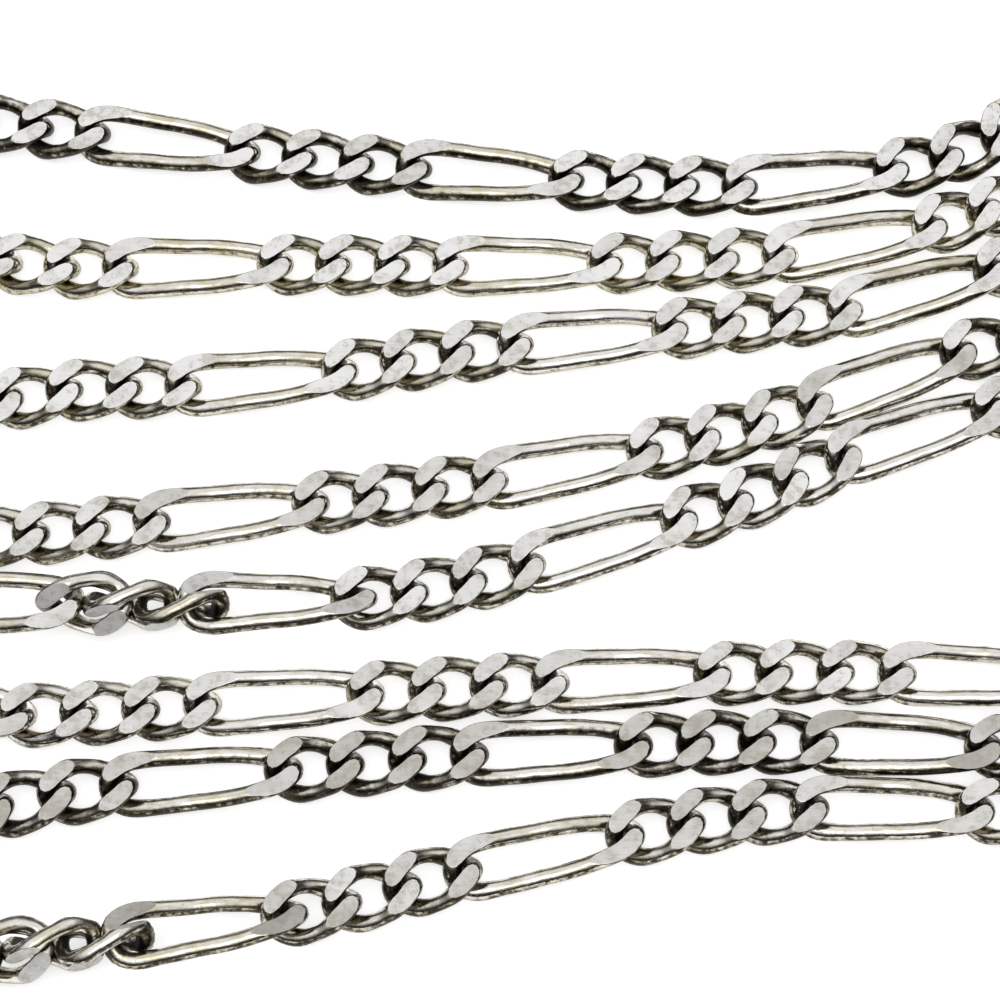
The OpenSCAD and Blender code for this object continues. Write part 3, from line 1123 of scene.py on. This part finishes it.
    def _tone(self, link: Placed) -> dict[str, float]:
        """How dark, warm and grey a link is, with a seed for its streaks.

        Args:
            link: the link.

        Returns:
            The values by name, with how far it is rolled.
        """
        ends = np.cumsum([tone.links for tone in TONES])
        tone = TONES[int(np.searchsorted(ends, link.index, side="right"))]
        dark = tone.dark + (self.short_darker if link.kind is Kind.SHORT else 0.0)
        leaning = math.sqrt(max(0.0, 1 - float(link.axes[2, 2]) ** 2))
        values = {"seed": float(self.rng.random())}
        middles = {"dark": dark, "warm": tone.warm, "grey": tone.grey}
        for (key, middle), spread in zip(middles.items(), self.spreads):
            values[key] = float(np.clip(middle + self.rng.normal(0, spread), 0, 1))
        values["rolled"] = min(1.0, self.roll_dulls * leaning)
        return values


# ---- clasp, floor and light

# A ring's place along the clasp's line, lean in degrees, width and thickness
Ring = tuple[float, float, float, float]


@dataclass
class Clasp:
    """The plain clasp, a ring with an eye, and its two jump rings, in millimetres.

    Attributes:
        route: the route that the chain follows.
        ring_wire: thickness of the clasp's ring.
        eye_wide: the eye, between wire centres.
        eye_wire: thickness of the eye's wire.
        play: play between the clasp, the jump rings and the end links.
        around: segments round a ring.
        sides: sides of its wire.
    """

    route: Route
    ring_wire: float = 1.2
    eye_wide: float = 2.0
    eye_wire: float = 0.7
    play: float = 0.2
    around: int = 56
    sides: int = 20

    def build(self, finish: bpy.types.Material) -> None:
        """Model the three pieces between the chain's two ends.

        Args:
            finish: the material of the plain silver wire.
        """
        size = self.route.chain
        joints = self.route.joints()
        begin, end = self.route.at(joints[0])[:2], self.route.at(joints[-1])[:2]
        line = begin - end
        span = float(np.linalg.norm(line))
        ring_wide = (
            span - 2 * size.jump_d + 2 * size.jump_t + 3 * self.play - self.eye_wide
            + (self.eye_wire + self.ring_wire) / 2
        )
        lean = math.degrees(math.asin((2 * size.jump_rise - self.ring_wire) / ring_wide))
        inside = (size.jump_d - size.jump_t) / 2 - self.play
        first = (size.jump_d - size.jump_t - self.play) / 2
        eye = first + inside + (self.eye_wide - self.eye_wire) / 2
        ring = eye + (self.eye_wide + ring_wide) / 2
        second = ring + inside + (ring_wide - self.ring_wire) / 2
        start = Vector((*(end - np.array(BOX_MIDDLE)), size.jump_rise))
        heading = math.atan2(line[1], line[0])
        jump = (size.jump_d, size.jump_t)
        rows = (
            ("clasp_ring_and_eye", "clasp", "clasp",
             ((eye, -size.jump_lean, self.eye_wide, self.eye_wire),
              (ring, lean, ring_wide, self.ring_wire))),
            ("jump_ring_at_clasp", "clasp_jump_ring", "jump_rings",
             ((first, size.jump_lean, *jump),)),
            ("jump_ring_at_end", "end_jump_ring", "jump_rings",
             ((second, -size.jump_lean, *jump),)),
        )
        for name, node, slot, rings in rows:
            piece = self._rings(name, start, heading, rings)
            piece.data.materials.append(finish)
            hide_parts(node)
            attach(piece, "root")
            LOG.info("%s: %d faces", name, len(piece.data.polygons))

    def _rings(
        self, name: str, start: Vector, heading: float, rings: Sequence[Ring]
    ) -> bpy.types.Object:
        """Model a piece of one or two rings of round wire.

        Args:
            name: the piece's name.
            start: where the clasp's line starts.
            heading: direction of the line, in radians.
            rings: the rings.

        Returns:
            The piece.
        """
        made = []
        for along, lean, wide, thick in rings:
            bpy.ops.object.select_all(action="DESELECT")
            turned = Matrix.Rotation(heading, 3, "Z") @ Matrix.Rotation(math.radians(lean), 3, "X")
            place = start + turned @ Vector((along, 0.0, 0.0))
            bpy.ops.mesh.primitive_torus_add(
                major_segments=self.around,
                minor_segments=self.sides,
                major_radius=wide / 2 * MM,
                minor_radius=thick / 2 * MM,
                location=place * MM,
                rotation=turned.to_euler(),
            )
            bpy.ops.object.transform_apply(location=True, rotation=True, scale=True)
            made.append(bpy.context.object)
        piece = made[0]
        for other in made[1:]:
            joint = piece.modifiers.new("soldered", "BOOLEAN")
            joint.operation, joint.solver, joint.object = "UNION", "EXACT", other
            bpy.context.view_layer.objects.active = piece
            bpy.ops.object.modifier_apply(modifier=joint.name)
            bpy.data.objects.remove(other)
        piece.name = piece.data.name = name
        piece.data.polygons.foreach_set("use_smooth", [True] * len(piece.data.polygons))
        return piece


@dataclass(frozen=True)
class Studio:
    """A pale floor and soft light from above.

    Attributes:
        floor_half, floor_drop: the floor's half width and depth below the chain, in metres.
        floor_colour, floor_rough: its colour and roughness.
        floor_glow: how much light it adds of its own, as a lit table does.
        lamp_place, lamp_wide: place and side of the soft light, in metres.
        lamp_power: its strength, in watts.
        crown: direction of the middle of the bright part of the surroundings.
        coolness: how much stronger their blue is.
        steps: their brightness by the cosine of the angle from the crown.
    """

    floor_half: float = 3.0
    floor_drop: float = 0.00001
    floor_colour: Colour = (0.90, 0.90, 0.895)
    floor_rough: float = 0.9
    floor_glow: float = 0.62
    lamp_place: Triple = (0.0, -0.24, 0.58)
    lamp_wide: float = 0.42
    lamp_power: float = 0.5
    crown: Triple = (0.0, 0.15, 0.989)
    coolness: float = 1.01
    steps: tuple[Span, ...] = (
        (0.0, 0.012), (0.34, 0.025), (0.56, 0.38), (0.72, 0.93), (1.0, 0.94),
    )

    def build(self) -> None:
        """Add the floor, the light and the surroundings."""
        bpy.ops.object.select_all(action="DESELECT")
        bpy.ops.mesh.primitive_plane_add(
            size=self.floor_half * 2, location=(0, 0, -self.floor_drop)
        )
        floor = bpy.context.object
        floor.name = "floor"
        looks = {
            "Base Color": (*self.floor_colour, 1.0),
            "Roughness": self.floor_rough,
            "Emission Color": (1.0, 1.0, 1.0, 1.0),
            "Emission Strength": self.floor_glow,
        }
        floor.data.materials.append(Shader(bpy.data.materials.new("floor_white")).finish(looks))
        self._light()
        self._surroundings()
        bpy.context.scene.view_settings.view_transform = "Standard"

    def _light(self) -> None:
        """Add a soft square light that looks at the chain."""
        data = bpy.data.lights.new("overhead", "AREA")
        data.shape = "SQUARE"
        data.size = self.lamp_wide
        data.energy = self.lamp_power
        light = bpy.data.objects.new("overhead", data)
        light.location = self.lamp_place
        light.rotation_mode = "QUATERNION"
        light.rotation_quaternion = (-Vector(self.lamp_place)).to_track_quat("-Z", "Y")
        bpy.context.scene.collection.objects.link(light)

    def _surroundings(self) -> None:
        """Set soft surroundings, bright overhead and dim towards the horizon."""
        world = bpy.data.worlds.new("studio")
        bpy.context.scene.world = world
        s = Shader(world)
        view = s.node("ShaderNodeTexCoord", {}, {}, "Generated")
        values = {0: view, 1: self.crown}
        toward = s.node("ShaderNodeVectorMath", {"operation": "DOT_PRODUCT"}, values, "Value")
        glow = s.node("ShaderNodeValToRGB", {}, {0: toward})
        steps = glow.socket.node.color_ramp.elements
        while len(steps) < len(self.steps):
            steps.new(0.5)
        for step, (place, bright) in zip(steps, self.steps):
            step.position = place
            step.color = (bright, bright, bright * self.coolness, 1.0)
        s.end("ShaderNodeOutputWorld", s.node("ShaderNodeBackground", {}, {0: glow}))


def main() -> None:
    """Build the scene in order."""
    logging.basicConfig(level=logging.INFO, format="%(name)s: %(message)s")
    Viewpoint().build()
    chain = Chain(ChainSize())
    chain.build(WornSilver().build())
    Clasp(chain.route).build(PlainSilver().build())
    Studio().build()


if __name__ == "__main__":
    main()
